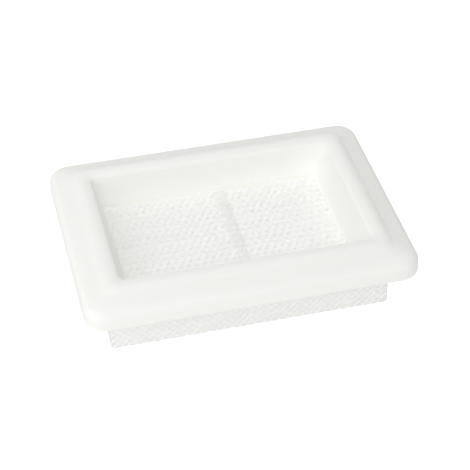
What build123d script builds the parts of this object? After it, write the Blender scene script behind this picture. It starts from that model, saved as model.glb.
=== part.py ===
"""Pleated vacuum filter: a soft moulded frame with a raised sealing rim, over a net-faced pleated pack."""
import math
import os

from build123d import *

# Flange of the moulded frame, in millimetres
flange_length = 96.0
flange_width = 71.5
flange_corner_radius = 6.0
flange_edge_height = 6.7
flange_top_radius = 2.6
flange_bottom_chamfer = 1.0
ledge_width = 6.0
ledge_rise = 0.5

# Raised rim round the opening, with a sloped outer side that rolls over to the top
rim_width = 5.75
rim_height = 1.3
rim_corner_radius = 4.0
rim_taper = 60.0
rim_outer_radius = 2.6
rim_inner_radius = 1.3
opening_corner_radius = 2.0
opening_end_lean = 3.0

# Pleated pack under the flange, let a little way into the flange's underside
pack_end_margin = 7.5
pack_side_margin = 7.75
pack_depth = 14.2
pack_sink = 0.5
pleat_folds = 22
pleat_height = 10.0
sheet_thickness = 0.6
bend_flats = 6
end_strip_thickness = 0.8

# Diamond net that faces the sheet, two layers of crossing strands
strand_thickness = 0.3
strand_width = 0.45
net_cell = 2.28

# Glue bead that crosses the folds and holds them apart
bead_width = 3.8
bead_depth = 2.5
bead_cover = 0.5
bead_offset = 2.3

# Places worked out from the sizes above; the pack's lower face is at z = 0
net_thickness = 2 * strand_thickness
pack_length = flange_length - 2 * pack_end_margin
pack_width = flange_width - 2 * pack_side_margin
flange_bottom = pack_depth
pack_top = flange_bottom + pack_sink
ledge_bottom = flange_bottom + flange_edge_height
rim_bottom = ledge_bottom + ledge_rise
rim_top = rim_bottom + rim_height
opening_length = flange_length - 2 * (ledge_width + rim_width)
opening_width = flange_width - 2 * (ledge_width + rim_width)
fold_bottom = net_thickness
fold_top = fold_bottom + pleat_height
sheet_length = pack_length - 2 * end_strip_thickness
sheet_outer_width = pack_width - 2 * net_thickness
leg_count = 2 * pleat_folds
leg_pitch = (sheet_outer_width - sheet_thickness) / (leg_count - 1)
fold_outer_radius = (leg_pitch + sheet_thickness) / 2
fold_inner_radius = (leg_pitch - sheet_thickness) / 2


def rounded_plate(length, width, radius, bottom, height):
    """A plate with rounded plan corners, standing on the height called bottom."""
    outline = Pos(0, 0, bottom) * RectangleRounded(length, width, radius)
    return extrude(outline, amount=height)


def ring_outline(inset, height, radius):
    """The flange's outline drawn in by an inset, at a height of its own."""
    outline = RectangleRounded(flange_length - 2 * inset, flange_width - 2 * inset, radius)
    return (Pos(0, 0, height) * outline).face()


def end_slope(side):
    """The slope at one end of the opening, from under the mouth's round edge in to the pleats."""
    wall = opening_length / 2
    slope_top = rim_top - rim_inner_radius
    corners = [(wall, slope_top), (wall - opening_end_lean, fold_top), (sheet_length / 2, fold_top),
               (sheet_length / 2, slope_top)]
    section = make_face(Polyline(*corners, close=True))
    slope = extrude(Plane.XZ * section, amount=opening_width / 2, both=True)
    return slope if side > 0 else mirror(slope, about=Plane.YZ)


def rim_crown():
    """The rim's block: its outer side slopes in as it rises and rolls over to the flat top."""
    foot = ring_outline(ledge_width, rim_bottom, rim_corner_radius)
    block = extrude(foot, amount=rim_height, taper=rim_taper)
    return fillet(block.edges().group_by(Axis.Z)[-1], rim_outer_radius)


def seal_frame():
    """Flange, ledge, rim and inner skirt, moulded as one soft piece with an opening through it."""
    flange = rounded_plate(flange_length, flange_width, flange_corner_radius, flange_bottom, flange_edge_height)
    flange = fillet(flange.edges().group_by(Axis.Z)[-1], flange_top_radius)
    flange = chamfer(flange.edges().group_by(Axis.Z)[0], flange_bottom_chamfer)
    ledge = loft([
        ring_outline(flange_top_radius, ledge_bottom, flange_corner_radius - flange_top_radius),
        ring_outline(ledge_width, rim_bottom, rim_corner_radius),
    ])
    standing = (Align.CENTER, Align.CENTER, Align.MIN)
    pocket = Pos(0, 0, flange_bottom) * Box(pack_length, pack_width, pack_sink, align=standing)
    skirt_width = sheet_outer_width - 2 * sheet_thickness
    skirt = Pos(0, 0, fold_top) * Box(sheet_length, skirt_width, pack_top - fold_top, align=standing)
    opening = rounded_plate(
        opening_length, opening_width, opening_corner_radius, fold_top, rim_top - fold_top)
    frame = flange + ledge + rim_crown() - pocket + skirt - opening
    mouth = frame.edges().filter_by_position(Axis.Z, rim_top, rim_top)
    inner_edges = [e for e in mouth if abs(e.center().X) <= opening_length / 2 + rim_inner_radius
                   and abs(e.center().Y) <= opening_width / 2 + rim_inner_radius]
    return fillet(inner_edges, rim_inner_radius) + end_slope(-1) + end_slope(1)


def leg_place(index):
    """How far from the pack's middle the centre of one pleat leg stands, across the pack."""
    return (index - (leg_count - 1) / 2) * leg_pitch


def bend_points(middle, crest, radius, flats, turn):
    """Points round one half-turn bend of the sheet; turn is -1 for a bend at the bottom, 1 at the top."""
    points = []
    for step in range(flats + 1):
        angle = math.pi * step / flats
        points.append((middle - radius * math.cos(angle), crest + turn * radius * math.sin(angle)))
    return points


def sheet_side(side):
    """One face of the folded sheet as a row of points; side is -1 for the lower face, 1 for the upper.

    Each bend is turned over in short flats on its outside and creased on its inside.
    """
    points = [(leg_place(0) + side * sheet_thickness / 2, pack_top)]
    for index in range(leg_count - 1):
        turn = -1 if index % 2 == 0 else 1
        middle = (leg_place(index) + leg_place(index + 1)) / 2
        crest = fold_bottom + fold_outer_radius if turn < 0 else fold_top - fold_outer_radius
        if turn == side:
            points += bend_points(middle, crest, fold_outer_radius, bend_flats, turn)
        else:
            points += bend_points(middle, crest, fold_inner_radius, 2, turn)
    points.append((leg_place(leg_count - 1) - side * sheet_thickness / 2, pack_top))
    return points


def pleated_media():
    """One sheet folded into upright pleats along the pack; its outer legs rise into the flange."""
    section = make_face(Polyline(*sheet_side(-1), *reversed(sheet_side(1)), close=True))
    return extrude(Plane.YZ * section, amount=sheet_length / 2, both=True)


def strand_outline(middle, slope, bottom, top):
    """One slanted strand of the net, cut level at its two ends."""
    half = strand_width / math.sqrt(2)
    low = middle - slope * (top - bottom) / 2
    high = middle + slope * (top - bottom) / 2
    corners = [(low - half, bottom), (low + half, bottom), (high + half, top), (high - half, top)]
    return make_face(Polyline(*corners, close=True))


def side_net(side):
    """The net on one outer leg of the sheet: two crossing layers of strands, one laid on the other."""
    bottom = fold_bottom + fold_outer_radius
    top = pack_top
    wall = Pos(0, (bottom + top) / 2) * Rectangle(pack_length, top - bottom)
    reach = (pack_length + top - bottom) / 2
    count = int(reach / net_cell)
    strands = []
    for layer, slope in enumerate((1, -1)):
        face_place = side * (sheet_outer_width / 2 + layer * strand_thickness)
        plane = Plane(origin=(0, face_place, 0), x_dir=(1, 0, 0), z_dir=(0, -1, 0))
        for index in range(-count, count + 1):
            strand = strand_outline(index * net_cell, slope, bottom, top) & wall
            strands.append(extrude(plane * strand, amount=-side * strand_thickness).solid())
    return Compound(strands)


def glue_bead(media):
    """A line of glue across the pack that fills the gaps between the folds and covers their tips thinly."""
    bead_bottom = fold_top - bead_depth
    bead_height = bead_depth + bead_cover
    block = Pos(bead_offset, 0, bead_bottom) * Box(
        bead_width, opening_width, bead_height, align=(Align.CENTER, Align.CENTER, Align.MIN))
    return (block - media).solids().sort_by(SortBy.VOLUME)[-1]


def end_strip(side):
    """A strip that closes the open ends of the pleats, from inside the flange down to the pack's lower face."""
    place = Pos(side * (sheet_length + end_strip_thickness) / 2, 0, 0)
    return place * Box(
        end_strip_thickness, sheet_outer_width, pack_top, align=(Align.CENTER, Align.CENTER, Align.MIN))


media = pleated_media()
nodes = {
    "seal_frame": seal_frame(),
    "pleated_media": media,
    "front_net": side_net(-1),
    "back_net": side_net(1),
    "glue_bead": glue_bead(media),
    "end_strip_left": end_strip(-1),
    "end_strip_right": end_strip(1),
}

os.makedirs("parts", exist_ok=True)
for name, shape in nodes.items():
    export_step(shape, f"parts/{name}.step")
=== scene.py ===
"""Looks of a pleated vacuum filter: soft moulded frame, net-faced pleats, glue line, on a white floor."""

import math

import bmesh
import bpy
from mathutils import Matrix, Vector, noise


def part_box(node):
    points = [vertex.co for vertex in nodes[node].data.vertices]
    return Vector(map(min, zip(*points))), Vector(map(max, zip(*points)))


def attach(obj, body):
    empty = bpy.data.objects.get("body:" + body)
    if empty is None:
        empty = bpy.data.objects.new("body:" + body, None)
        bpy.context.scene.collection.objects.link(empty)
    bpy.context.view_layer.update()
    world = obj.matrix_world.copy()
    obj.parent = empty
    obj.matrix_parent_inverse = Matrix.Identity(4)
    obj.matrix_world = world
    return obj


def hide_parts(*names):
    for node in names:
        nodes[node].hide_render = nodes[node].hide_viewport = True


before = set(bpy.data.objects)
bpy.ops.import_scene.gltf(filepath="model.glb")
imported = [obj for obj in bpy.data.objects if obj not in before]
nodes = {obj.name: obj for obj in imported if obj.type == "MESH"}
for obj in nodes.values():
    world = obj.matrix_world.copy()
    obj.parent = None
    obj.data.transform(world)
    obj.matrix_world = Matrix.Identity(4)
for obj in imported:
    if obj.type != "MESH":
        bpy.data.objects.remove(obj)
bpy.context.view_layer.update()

MM = 0.001
MERGE = 0.0005 * MM
NEAR = 0.1 * MM

# Sizes read from the fixed frame, in metres
frame_low, frame_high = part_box("seal_frame")
media_low, media_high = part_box("pleated_media")
strip_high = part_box("end_strip_left")[1]
net_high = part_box("front_net")[1]
bead_low, bead_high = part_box("glue_bead")
PACK_SINK = 0.5 * MM
pack_top = strip_high.z
flange_bottom = pack_top - PACK_SINK
rim_top = frame_high.z
fold_top = frame_low.z
fold_bottom = media_low.z
half_length = frame_high.x
half_width = frame_high.y
border = half_width - bead_high.y

# Section of the moulding: insets from the flange's edge and heights in millimetres, slopes in degrees
EDGE_RADIUS = 2.6
UNDER_RADIUS = 1.0
LEDGE_SLOPE = 17
LEDGE_FOOT = 0.7
RIM_SLOPE = 32
RIM_FOOT = 0.4
ROLL = 4.6
CREST_INSET = 8.9
INNER_SLOPE = 18
LIP = 1.0
LIP_START = 10
MOUTH = 1.3
WALL_FOOT = 0.6
WALL_NEAR = 0.01
END_LEAN = 3.0
SEAT_INSET = 7.9
SEAT_RISE = 1.2
SKIRT_INSETS = (9.2, 8.6)
SKIRT_STEP = 1.5

# Plan of the moulding: inset and corner radius in millimetres, and the ripple of a soft casting
CORNER_MARKS = ((0.0, 6.0), (EDGE_RADIUS, 3.4), (6.0, 4.0), (border / MM, 2.0))
CORNERS = ((1, 1), (-1, 1), (-1, -1), (1, -1))
CORNER_STEPS = 14
SIDE_STEPS = 40
FOOT_STEPS = 6
RIPPLE_SPAN = 9 * MM
RIPPLE = (0.0012, 0.0016)

# Pleats
FOLDS = 22
SHEET = 0.6 * MM
LEG_PITCH = (media_high.y - media_low.y - SHEET) / (2 * FOLDS - 1)
FOLD_PITCH = 2 * LEG_PITCH
FOLD_RADIUS = (LEG_PITCH + SHEET) / 2

# Net: how far it hangs down a leg, and its points along a strand, for the upper and lower folds and the walls
CELL = 2.28 * MM
STRAND = 0.17 * MM
STRAND_SIDES = 6
SLANT_WIDTH = 1.41
LAYER_LIFT = (0.08 * MM, 0.18 * MM)
PHASE_STEP = -0.314
UPPER_LEG, UPPER_STEPS = 1.2 * MM, 14
LOWER_LEG, LOWER_STEPS = 0.8 * MM, 10
WALL_STEPS = 26
SIDE_REACH = 0.4 * MM
END_REACH = 0.6

# Lower edge of the sheet's two outer legs, and its inner face as insets and heights in millimetres
HEM_RADIUS = 0.45 * MM
HEM_BOTTOM = 0.36 * MM
HEM_TUCK = -0.5 * MM
HEM_TOP = 1.9
HEM_LIFT = 0.02 * MM
HEM_STEPS = 80
HEM_INSIDE = ((0.95, HEM_BOTTOM / MM + 0.05), (1.2, 0.75), (1.0, 0.95), (HEM_RADIUS / MM, 0.75), (0.3, 0.9),
              (0.3, HEM_TOP))

# Glue line, in millimetres
GLUE_GAP = 0.1
GLUE_HALF_WIDTH = 1.75
GLUE_WAVE, GLUE_WAVE_SPAN = 0.15, 2.2
GLUE_LEAN, GLUE_LEAN_SPAN = 0.12, 3.1
GLUE_COVER = 0.05
GLUE_SAG = 0.75
GLUE_CROWN = 0.2
GLUE_DEPTH = 0.75

# End strips
FELT_CORNER = 1.6 * MM

# Floor, in metres, and lamps: name, kind, turn from the front to the left, rise from the floor, power
FLOOR_HALF = 3.0
FLOOR_GAP = 0.05 * MM
FLOOR_GLOW = 0.5
WORLD_LEVEL = 0.4
LAMP_DISTANCE = 0.7
LAMP_SIZE = 0.35
SUN_SPREAD = 30
LAMPS = (
    ("key", "AREA", 50, 30, 0.62),
    ("front_high", "AREA", 20, 50, 0.36),
    ("side_low", "AREA", 100, 25, 0.30),
    ("side_high", "AREA", 90, 55, 0.49),
    ("fill_top", "SUN", 0, 89, 0.27),
    ("fill_front", "SUN", 13, 15, 0.63),
    ("fill_back", "SUN", 180, 45, 0.48),
    ("fill_right", "SUN", -90, 15, 0.20),
)

# Camera: angles in degrees, lengths in millimetres, focal length in widths of the picture
CAMERA_TURN, CAMERA_RISE, CAMERA_ROLL = 13.124, 38.889, -0.937
CAMERA_DISTANCE = 472.05
CAMERA_RIGHT, CAMERA_UP = 1.973, -1.788
AIM_HEIGHT = 14.2
SENSOR = 36.0
FOCAL_WIDTHS = 1608 / 470


# Materials

def new_material(name):
    """A new material with its node tree and its shader."""
    material = bpy.data.materials.new(name)
    material.use_nodes = True
    tree = material.node_tree
    return material, tree, tree.nodes["Principled BSDF"]


def mottle_group():
    """Soft blotches and fine grain over Object coordinates, as two values from 0 to 1."""
    group = bpy.data.node_groups.new("surface_mottle", "ShaderNodeTree")
    group.interface.new_socket("Blotch Scale", in_out="INPUT", socket_type="NodeSocketFloat")
    group.interface.new_socket("Grain Scale", in_out="INPUT", socket_type="NodeSocketFloat")
    group.interface.new_socket("Stretch", in_out="INPUT", socket_type="NodeSocketVector")
    group.interface.new_socket("Blotch", in_out="OUTPUT", socket_type="NodeSocketFloat")
    group.interface.new_socket("Grain", in_out="OUTPUT", socket_type="NodeSocketFloat")
    make, link = group.nodes.new, group.links.new
    entry = make("NodeGroupInput")
    leave = make("NodeGroupOutput")
    coords = make("ShaderNodeTexCoord")
    stretch = make("ShaderNodeVectorMath")
    stretch.operation = "MULTIPLY"
    link(coords.outputs["Object"], stretch.inputs[0])
    link(entry.outputs["Stretch"], stretch.inputs[1])
    for label, detail in (("Blotch", 3.0), ("Grain", 6.0)):
        texture = make("ShaderNodeTexNoise")
        texture.inputs["Detail"].default_value = detail
        link(stretch.outputs["Vector"], texture.inputs["Vector"])
        link(entry.outputs[label + " Scale"], texture.inputs["Scale"])
        link(texture.outputs["Fac"], leave.inputs[label])
    return group


MOTTLE = mottle_group()
GLOSS_FROM = (0.3, 0.7)
GLOSS_SPREAD = 0.06
BUMP_STRENGTH = 0.6


def white_material(name, dark, light, roughness, blotch, grain, bump, stretch=(1, 1, 1), subsurface=0.0,
                   scatter=1.0, specular=0.5):
    """A pale surface whose tint, gloss and height all vary with the shared mottle."""
    material, tree, shader = new_material(name)
    make, link = tree.nodes.new, tree.links.new
    mottle = make("ShaderNodeGroup")
    mottle.node_tree = MOTTLE
    mottle.inputs["Blotch Scale"].default_value = blotch
    mottle.inputs["Grain Scale"].default_value = grain
    mottle.inputs["Stretch"].default_value = stretch
    tint = make("ShaderNodeMix")
    tint.data_type = "RGBA"
    tint.inputs["A"].default_value = (*dark, 1)
    tint.inputs["B"].default_value = (*light, 1)
    link(mottle.outputs["Blotch"], tint.inputs["Factor"])
    link(tint.outputs["Result"], shader.inputs["Base Color"])
    gloss = make("ShaderNodeMapRange")
    gloss.inputs["From Min"].default_value = GLOSS_FROM[0]
    gloss.inputs["From Max"].default_value = GLOSS_FROM[1]
    gloss.inputs["To Min"].default_value = roughness - GLOSS_SPREAD
    gloss.inputs["To Max"].default_value = roughness + GLOSS_SPREAD
    link(mottle.outputs["Grain"], gloss.inputs["Value"])
    link(gloss.outputs["Result"], shader.inputs["Roughness"])
    relief = make("ShaderNodeBump")
    relief.inputs["Distance"].default_value = bump
    relief.inputs["Strength"].default_value = BUMP_STRENGTH
    link(mottle.outputs["Grain"], relief.inputs["Height"])
    link(relief.outputs["Normal"], shader.inputs["Normal"])
    shader.inputs["Specular IOR Level"].default_value = specular
    shader.inputs["Subsurface Weight"].default_value = subsurface
    shader.inputs["Subsurface Radius"].default_value = (1, 1, 1)
    shader.inputs["Subsurface Scale"].default_value = scatter * MM
    return material


rubber = white_material("soft_moulding", (0.955, 0.958, 0.905), (0.97, 0.972, 0.925), 0.55, 60, 900,
                        0.03 * MM, subsurface=0.5, scatter=2.5, specular=0.25)
paper = white_material("filter_sheet", (0.895, 0.897, 0.883), (0.922, 0.922, 0.909), 0.8, 300, 2600,
                       0.08 * MM, stretch=(0.35, 1, 1), specular=0.2)
plastic = white_material("net_plastic", (0.95, 0.95, 0.94), (0.97, 0.97, 0.96), 0.42, 120, 1500,
                         0.02 * MM, subsurface=0.3, scatter=0.6)
glue = white_material("glue", (0.83, 0.83, 0.81), (0.87, 0.87, 0.85), 0.45, 400, 1500,
                      0.05 * MM, subsurface=0.3, scatter=1.0)
felt = white_material("strip_felt", (0.88, 0.885, 0.87), (0.94, 0.94, 0.93), 0.9, 250, 3200,
                      0.12 * MM, specular=0.1)


# Pieces

def add_piece(name, bm, material, slot_name, *replaced):
    """Turns a built mesh into a shown piece that rides with the part."""
    bmesh.ops.remove_doubles(bm, verts=bm.verts, dist=MERGE)
    bmesh.ops.recalc_face_normals(bm, faces=bm.faces)
    mesh = bpy.data.meshes.new(name)
    bm.to_mesh(mesh)
    bm.free()
    mesh.shade_smooth()
    mesh.materials.append(material)
    piece = bpy.data.objects.new(name, mesh)
    bpy.context.scene.collection.objects.link(piece)
    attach(piece, "root")
    if replaced:
        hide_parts(*replaced)
    return piece


def mapped_grid(bm, columns, rows, place):
    """A flat grid carried onto a shape: place takes a column and a row and gives the point."""
    made = bmesh.ops.create_grid(bm, x_segments=columns, y_segments=rows, size=0.5)["verts"]
    for vert in made:
        vert.co = place(round((vert.co.x + 0.5) * columns), round((vert.co.y + 0.5) * rows))


def close_ends(bm, sides):
    """Joins the seam of a tube made from a grid and fills its two open ends."""
    bmesh.ops.remove_doubles(bm, verts=bm.verts, dist=MERGE)
    bmesh.ops.holes_fill(bm, edges=[e for e in bm.edges if e.is_boundary], sides=sides)


def arc(centre, radius, start, end, steps):
    """Points of a round arc in a section, as insets and heights in millimetres."""
    points = []
    for step in range(steps + 1):
        angle = math.radians(start + (end - start) * step / steps)
        points.append((centre[0] + radius * math.cos(angle), centre[1] + radius * math.sin(angle)))
    return points


def straight(start, end, steps):
    """Evenly spaced points between two section points, without the end points."""
    return [(start[0] + (end[0] - start[0]) * k / steps, start[1] + (end[1] - start[1]) * k / steps)
            for k in range(1, steps)]


def bent(start, bend, end, steps):
    """Points of a smooth curve between two section points that is drawn towards a third."""
    points = []
    for step in range(steps + 1):
        t = step / steps
        points.append(tuple((1 - t) ** 2 * s + 2 * t * (1 - t) * b + t * t * e
                            for s, b, e in zip(start, bend, end)))
    return points


def moulding_section():
    """The moulding's closed section: inset from the flange's outer edge and height, in millimetres."""
    seat = flange_bottom / MM
    crest = rim_top / MM
    inner = border / MM
    skirt = fold_top / MM
    ledge_slope = math.radians(LEDGE_SLOPE)
    ledge_rise = math.tan(ledge_slope)
    roll = arc((CREST_INSET, crest - ROLL), ROLL, 90 + RIM_SLOPE, 90, 12)
    roll_foot = roll[0]
    bend = (roll_foot[0] - RIM_FOOT, roll_foot[1] - RIM_FOOT * math.tan(math.radians(RIM_SLOPE)))
    ledge_end = (bend[0] - LEDGE_FOOT, bend[1] - LEDGE_FOOT * ledge_rise)
    edge_inset = EDGE_RADIUS * (1 - math.sin(ledge_slope))
    edge_height = bend[1] - (bend[0] - edge_inset) * ledge_rise
    edge_middle = (EDGE_RADIUS, edge_height - EDGE_RADIUS * math.cos(ledge_slope))
    top_edge = arc(edge_middle, EDGE_RADIUS, 180, 90 + LEDGE_SLOPE, 10)
    bottom_edge = arc((UNDER_RADIUS, seat + UNDER_RADIUS), UNDER_RADIUS, 270, 180, 6)
    inner_sine = math.sin(math.radians(INNER_SLOPE))
    inner_roll = (inner - LIP * (1 - inner_sine) - CREST_INSET) / inner_sine
    mouth = arc((CREST_INSET, crest - inner_roll), inner_roll, 90, 90 - INNER_SLOPE, 8)
    mouth += arc((inner - LIP, crest - MOUTH), LIP, 90 - LIP_START - INNER_SLOPE, 0, 8)
    wall_foot = arc((inner + WALL_FOOT, skirt + WALL_FOOT), WALL_FOOT, 180, 270, 5)

    path = [(SEAT_INSET, seat + SEAT_RISE), (SEAT_INSET, seat)]
    path += straight(path[-1], bottom_edge[0], 4) + bottom_edge
    path += straight(bottom_edge[-1], top_edge[0], 5) + top_edge
    path += straight(top_edge[-1], ledge_end, 4) + bent(ledge_end, bend, roll_foot, FOOT_STEPS)
    path += roll[1:] + mouth
    path += straight(mouth[-1], wall_foot[0], 10) + wall_foot
    path += [(inner + WALL_FOOT, skirt - SKIRT_STEP), (SKIRT_INSETS[0], skirt),
             (SKIRT_INSETS[1], skirt + SKIRT_STEP)]
    return path


def corner_radius(inset):
    """Plan radius of the moulding's corners at an inset, in millimetres."""
    for (inset_a, radius_a), (inset_b, radius_b) in zip(CORNER_MARKS, CORNER_MARKS[1:]):
        if inset <= inset_b:
            return radius_a + (radius_b - radius_a) * (inset - inset_a) / (inset_b - inset_a)
    return CORNER_MARKS[-1][1]


def outline(inset, height):
    """One rounded rectangle of the moulding as points in metres, corner by corner."""
    radius = corner_radius(inset) * MM
    end_inset = inset
    if inset > border / MM - WALL_NEAR:
        end_inset += END_LEAN * (rim_top / MM - MOUTH - height) / ((rim_top - fold_top) / MM - MOUTH)
    reach_x = half_length - end_inset * MM - radius
    reach_y = half_width - inset * MM - radius

    def corner_point(corner, share):
        side_x, side_y = CORNERS[corner % len(CORNERS)]
        angle = math.pi / 2 * (corner + share)
        return Vector((side_x * reach_x + radius * math.cos(angle),
                       side_y * reach_y + radius * math.sin(angle), height * MM))

    points = []
    for corner in range(len(CORNERS)):
        points += [corner_point(corner, step / CORNER_STEPS) for step in range(CORNER_STEPS + 1)]
        begin, end = points[-1], corner_point(corner + 1, 0)
        points += [begin.lerp(end, step / SIDE_STEPS) for step in range(1, SIDE_STEPS)]
    return points


def soft_frame():
    """The moulded frame with rolled edges and the slight unevenness of a soft casting."""
    rings = [outline(inset, height) for inset, height in moulding_section()]
    count = len(rings[0])

    def place(column, row):
        point = rings[row % len(rings)][column % count]
        ripple = 0.5 + 0.5 * noise.noise(point / RIPPLE_SPAN)
        return Vector((point.x * (1 - RIPPLE[0] * ripple), point.y * (1 - RIPPLE[1] * ripple), point.z))

    bm = bmesh.new()
    mapped_grid(bm, count, len(rings), place)
    return add_piece("soft_frame", bm, rubber, "soft_moulding", "seal_frame")


def strand_set(half_run, depth_low, depth_high, slope, steps):
    """Parallel strands of one direction lying flat: x along the pleats, y along the sheet, z off the sheet."""
    bm = bmesh.new()
    count = int((half_run + max(-depth_low, depth_high)) / CELL) + 1

    def place(column, row):
        run = depth_low + (depth_high - depth_low) * column / steps
        turn = 2 * math.pi * (row % STRAND_SIDES) / STRAND_SIDES
        return Vector((slope * run + STRAND * SLANT_WIDTH * math.cos(turn), run, STRAND * math.sin(turn)))

    mapped_grid(bm, steps, STRAND_SIDES, place)
    bmesh.ops.remove_doubles(bm, verts=bm.verts, dist=MERGE)
    bmesh.ops.translate(bm, verts=bm.verts, vec=Vector((-count * CELL, 0, 0)))
    one = bm.verts[:] + bm.edges[:] + bm.faces[:]
    for index in range(1, 2 * count + 1):
        copy = bmesh.ops.duplicate(bm, geom=one)["geom"]
        moved = [v for v in copy if isinstance(v, bmesh.types.BMVert)]
        bmesh.ops.translate(bm, verts=moved, vec=Vector((index * CELL, 0, 0)))
    return bm


def fold_over(point, middle, crest, turn, radius):
    """Carries a point of the flat net round a bend; turn is 1 for a fold's top and -1 for its bottom."""
    quarter = math.pi / 2 * radius
    off = point.z
    if abs(point.y) <= quarter:
        angle = point.y / radius
        return Vector((point.x, middle + (radius + off) * math.sin(angle),
                       crest + turn * (radius + off) * math.cos(angle)))
    side = 1 if point.y > 0 else -1
    return Vector((point.x, middle + side * (radius + off), crest - turn * (abs(point.y) - quarter)))


def folded_net(name, places, bend, crest, turn, layer, slope, half_run, leg_low, leg_high, steps, *replaced):
    """One direction of net strands laid over a row of folds whose bends have one radius."""
    radius = bend + LAYER_LIFT[layer]
    quarter = math.pi / 2 * radius
    whole = bmesh.new()
    for index, middle in enumerate(places):
        flat = strand_set(half_run, -quarter - leg_low, quarter + leg_high, slope, steps)
        shift = slope * PHASE_STEP * index % 1.0 * CELL
        bmesh.ops.translate(flat, verts=flat.verts, vec=Vector((shift, 0, 0)))
        for side in (-1, 1):
            geometry = flat.verts[:] + flat.edges[:] + flat.faces[:]
            bmesh.ops.bisect_plane(flat, geom=geometry, plane_co=Vector((side * half_run, 0, 0)),
                                   plane_no=Vector((side, 0, 0)), clear_outer=True)
        for vert in flat.verts:
            vert.co = fold_over(vert.co, middle, crest, turn, radius)
        carrier = bpy.data.meshes.new(name + "_part")
        flat.to_mesh(carrier)
        flat.free()
        whole.from_mesh(carrier)
        bpy.data.meshes.remove(carrier)
    return add_piece(name, whole, plastic, "net_plastic", *replaced)


def fold_middle(bend):
    """How far across the pack the middle of one bend lies; even bends are at the bottom."""
    return (bend - (2 * FOLDS - 2) / 2) * LEG_PITCH


def glue_line():
    """The line of glue across the pleats: uneven edges, sagging between the folds."""
    half_run = bead_high.y - GLUE_GAP * MM
    middle_x = (bead_low.x + bead_high.x) / 2
    columns, rows = 300, 20

    def place(column, row):
        across = -half_run + 2 * half_run * column / columns
        turn = 2 * math.pi * (row % rows) / rows
        wave = noise.noise(Vector((across / (GLUE_WAVE_SPAN * MM), 3.0, 0.0)))
        lean = noise.noise(Vector((across / (GLUE_LEAN_SPAN * MM), 8.0, 0.0)))
        width = (GLUE_HALF_WIDTH + GLUE_WAVE * wave) * MM
        on_tip = 0.5 + 0.5 * math.cos(2 * math.pi * across / FOLD_PITCH)
        top = bead_high.z - (GLUE_COVER + GLUE_SAG * (1 - on_tip)) * MM
        rise = math.sin(turn)
        if rise > 0:
            height = top + (rise - 1) * GLUE_CROWN * MM
        else:
            height = top - (GLUE_CROWN - GLUE_DEPTH * rise) * MM
        return Vector((middle_x + lean * GLUE_LEAN * MM + width * math.cos(turn), across, height))

    bm = bmesh.new()
    mapped_grid(bm, columns, rows, place)
    close_ends(bm, rows)
    return add_piece("glue_line", bm, glue, "glue", "glue_bead")


def end_felt(end):
    """The strip that closes the pleats at one end, its lower corners rounded like the folds."""
    low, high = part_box("end_strip_" + end)
    bm = bmesh.new()
    bmesh.ops.create_cube(bm, size=1.0)
    bmesh.ops.scale(bm, verts=bm.verts, vec=high - low)
    bmesh.ops.translate(bm, verts=bm.verts, vec=(low + high) / 2)
    corners = [e for e in bm.edges if all(v.co.z < low.z + NEAR for v in e.verts)
               and abs(e.verts[0].co.y - e.verts[1].co.y) < NEAR]
    bmesh.ops.bevel(bm, geom=corners, offset=FELT_CORNER, segments=8, profile=0.5, affect="EDGES", material=-1)
    return add_piece("end_felt_" + end, bm, felt, "strip_felt", "end_strip_" + end)


def sheet_hem(name, side):
    """The lower edge of the sheet's outer leg on one side, turned under in a tight bend."""
    face = (media_high.y + HEM_LIFT) / MM
    bottom, radius = HEM_BOTTOM / MM, HEM_RADIUS / MM
    section = [(0.0, HEM_TOP), *arc((radius, bottom + radius), radius, 180, 270, 6), *HEM_INSIDE]
    half_run = media_high.x

    def place(column, row):
        inset, height = section[row % len(section)]
        return Vector((half_run * (2 * column / HEM_STEPS - 1), side * (face - inset) * MM, height * MM))

    bm = bmesh.new()
    mapped_grid(bm, HEM_STEPS, len(section), place)
    close_ends(bm, len(section))
    return add_piece(name, bm, paper, "filter_sheet")


soft_frame()
glue_line()
sheet_hem("front_hem", -1)
sheet_hem("back_hem", 1)
for end in ("left", "right"):
    end_felt(end)
top_crest = fold_top - FOLD_RADIUS
bottom_crest = fold_bottom + FOLD_RADIUS
hem_crest = HEM_BOTTOM + HEM_RADIUS
wall_leg = pack_top - hem_crest
seen_width = bead_high.y + SIDE_REACH
upper_run = half_length - border - (END_LEAN - END_REACH) * MM
lower_run = -strip_high.x
tops = [fold_middle(b) for b in range(1, 2 * FOLDS - 2, 2) if abs(fold_middle(b)) < seen_width]
bottoms = [fold_middle(b) for b in range(0, 2 * FOLDS - 1, 2)]
front_middle = bottoms[0] - FOLD_RADIUS + HEM_RADIUS
back_middle = bottoms[-1] + FOLD_RADIUS - HEM_RADIUS
for layer, (label, slope) in enumerate((("rising", 1), ("falling", -1))):
    folded_net("upper_net_" + label, tops, FOLD_RADIUS, top_crest, 1, 1 - layer, slope, upper_run,
               UPPER_LEG, UPPER_LEG, UPPER_STEPS)
    folded_net("lower_net_" + label, bottoms[1:-1], FOLD_RADIUS, bottom_crest, -1, layer, slope, lower_run,
               LOWER_LEG, LOWER_LEG, LOWER_STEPS)
    folded_net("front_net_" + label, [front_middle], HEM_RADIUS, hem_crest, -1, layer, slope, net_high.x,
               wall_leg, HEM_TUCK, WALL_STEPS, "front_net")
    folded_net("back_net_" + label, [back_middle], HEM_RADIUS, hem_crest, -1, layer, slope, net_high.x,
               HEM_TUCK, wall_leg, WALL_STEPS, "back_net")

for node_name, material in (("seal_frame", rubber), ("pleated_media", paper), ("front_net", plastic),
                            ("back_net", plastic), ("glue_bead", glue), ("end_strip_left", felt),
                            ("end_strip_right", felt)):
    nodes[node_name].data.materials.clear()
    nodes[node_name].data.materials.append(material)


# Floor, light and camera

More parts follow.
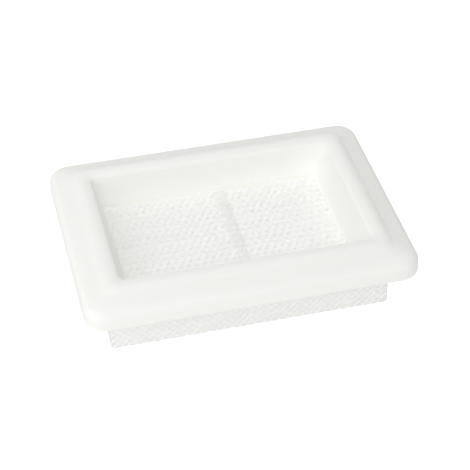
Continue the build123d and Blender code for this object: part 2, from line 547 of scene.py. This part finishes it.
def studio_floor():
    """A wide pale floor, white to the camera but with the filter's faint shadow, and clear from below."""
    bm = bmesh.new()
    bmesh.ops.create_grid(bm, x_segments=1, y_segments=1, size=FLOOR_HALF)
    bmesh.ops.translate(bm, verts=bm.verts, vec=Vector((0, 0, -FLOOR_GAP)))
    mesh = bpy.data.meshes.new("floor")
    bm.to_mesh(mesh)
    bm.free()
    floor = bpy.data.objects.new("floor", mesh)
    bpy.context.scene.collection.objects.link(floor)
    material, tree, shader = new_material("floor_paint")
    make, link = tree.nodes.new, tree.links.new
    shader.inputs["Base Color"].default_value = (0.9, 0.9, 0.9, 1)
    shader.inputs["Roughness"].default_value = 0.9
    shader.inputs["Specular IOR Level"].default_value = 0.0
    shader.inputs["Emission Color"].default_value = (1, 1, 1, 1)
    path = make("ShaderNodeLightPath")
    glow = make("ShaderNodeMapRange")
    glow.inputs["To Min"].default_value = 0.0
    glow.inputs["To Max"].default_value = FLOOR_GLOW
    link(path.outputs["Is Camera Ray"], glow.inputs["Value"])
    link(glow.outputs["Result"], shader.inputs["Emission Strength"])
    side = make("ShaderNodeNewGeometry")
    clear = make("ShaderNodeBsdfTransparent")
    blend = make("ShaderNodeMixShader")
    link(side.outputs["Backfacing"], blend.inputs["Fac"])
    link(shader.outputs["BSDF"], blend.inputs[1])
    link(clear.outputs["BSDF"], blend.inputs[2])
    link(blend.outputs["Shader"], tree.nodes["Material Output"].inputs["Surface"])
    mesh.materials.append(material)


def from_filter(turn, rise):
    """The direction from the filter that is turned from the front towards the left and raised from the floor."""
    return Vector((-math.sin(turn) * math.cos(rise), -math.cos(turn) * math.cos(rise), math.sin(rise)))


def add_lamp(name, kind, turn, rise, power):
    """A lamp aimed at the filter: a soft disk, or a broad light without shadows."""
    lamp = bpy.data.lights.new(name, kind)
    lamp.energy = power
    if kind == "AREA":
        lamp.shape = "DISK"
        lamp.size = LAMP_SIZE
    else:
        lamp.angle = math.radians(SUN_SPREAD)
        lamp.use_shadow = False
    holder = bpy.data.objects.new(name, lamp)
    bpy.context.scene.collection.objects.link(holder)
    place = LAMP_DISTANCE * from_filter(math.radians(turn), math.radians(rise))
    holder.matrix_world = Matrix.Translation(place) @ place.to_track_quat("Z", "Y").to_matrix().to_4x4()


def studio_light():
    """A white surround, soft lamps on the left and broad fill from above and all round."""
    world = bpy.data.worlds.new("studio")
    bpy.context.scene.world = world
    world.use_nodes = True
    tree = world.node_tree
    back = tree.nodes["Background"]
    back.inputs["Color"].default_value = (1, 1, 1, 1)
    path = tree.nodes.new("ShaderNodeLightPath")
    level = tree.nodes.new("ShaderNodeMapRange")
    level.inputs["To Min"].default_value = WORLD_LEVEL
    level.inputs["To Max"].default_value = 1.0
    tree.links.new(path.outputs["Is Camera Ray"], level.inputs["Value"])
    tree.links.new(level.outputs["Result"], back.inputs["Strength"])
    for lamp in LAMPS:
        add_lamp(*lamp)


def photo_camera():
    """The camera stands front left and looks down on the filter at the photographed angle."""
    turn, roll = math.radians(CAMERA_TURN), math.radians(CAMERA_ROLL)
    back = from_filter(turn, math.radians(CAMERA_RISE))
    right = Vector((math.cos(turn), -math.sin(turn), 0))
    up = back.cross(right)
    right, up = (math.cos(roll) * right + math.sin(roll) * up, math.cos(roll) * up - math.sin(roll) * right)
    place = Vector((0, 0, AIM_HEIGHT)) + CAMERA_DISTANCE * back + CAMERA_RIGHT * right + CAMERA_UP * up
    lens = bpy.data.cameras.new("photo_camera")
    lens.sensor_width = SENSOR
    lens.lens = SENSOR * FOCAL_WIDTHS
    lens.clip_start = 0.01
    camera = bpy.data.objects.new("photo_camera", lens)
    bpy.context.scene.collection.objects.link(camera)
    camera.matrix_world = Matrix.Translation(place * MM) @ Matrix((right, up, back)).transposed().to_4x4()
    bpy.context.scene.camera = camera


studio_floor()
studio_light()
photo_camera()
bpy.context.scene.view_settings.view_transform = "Standard"
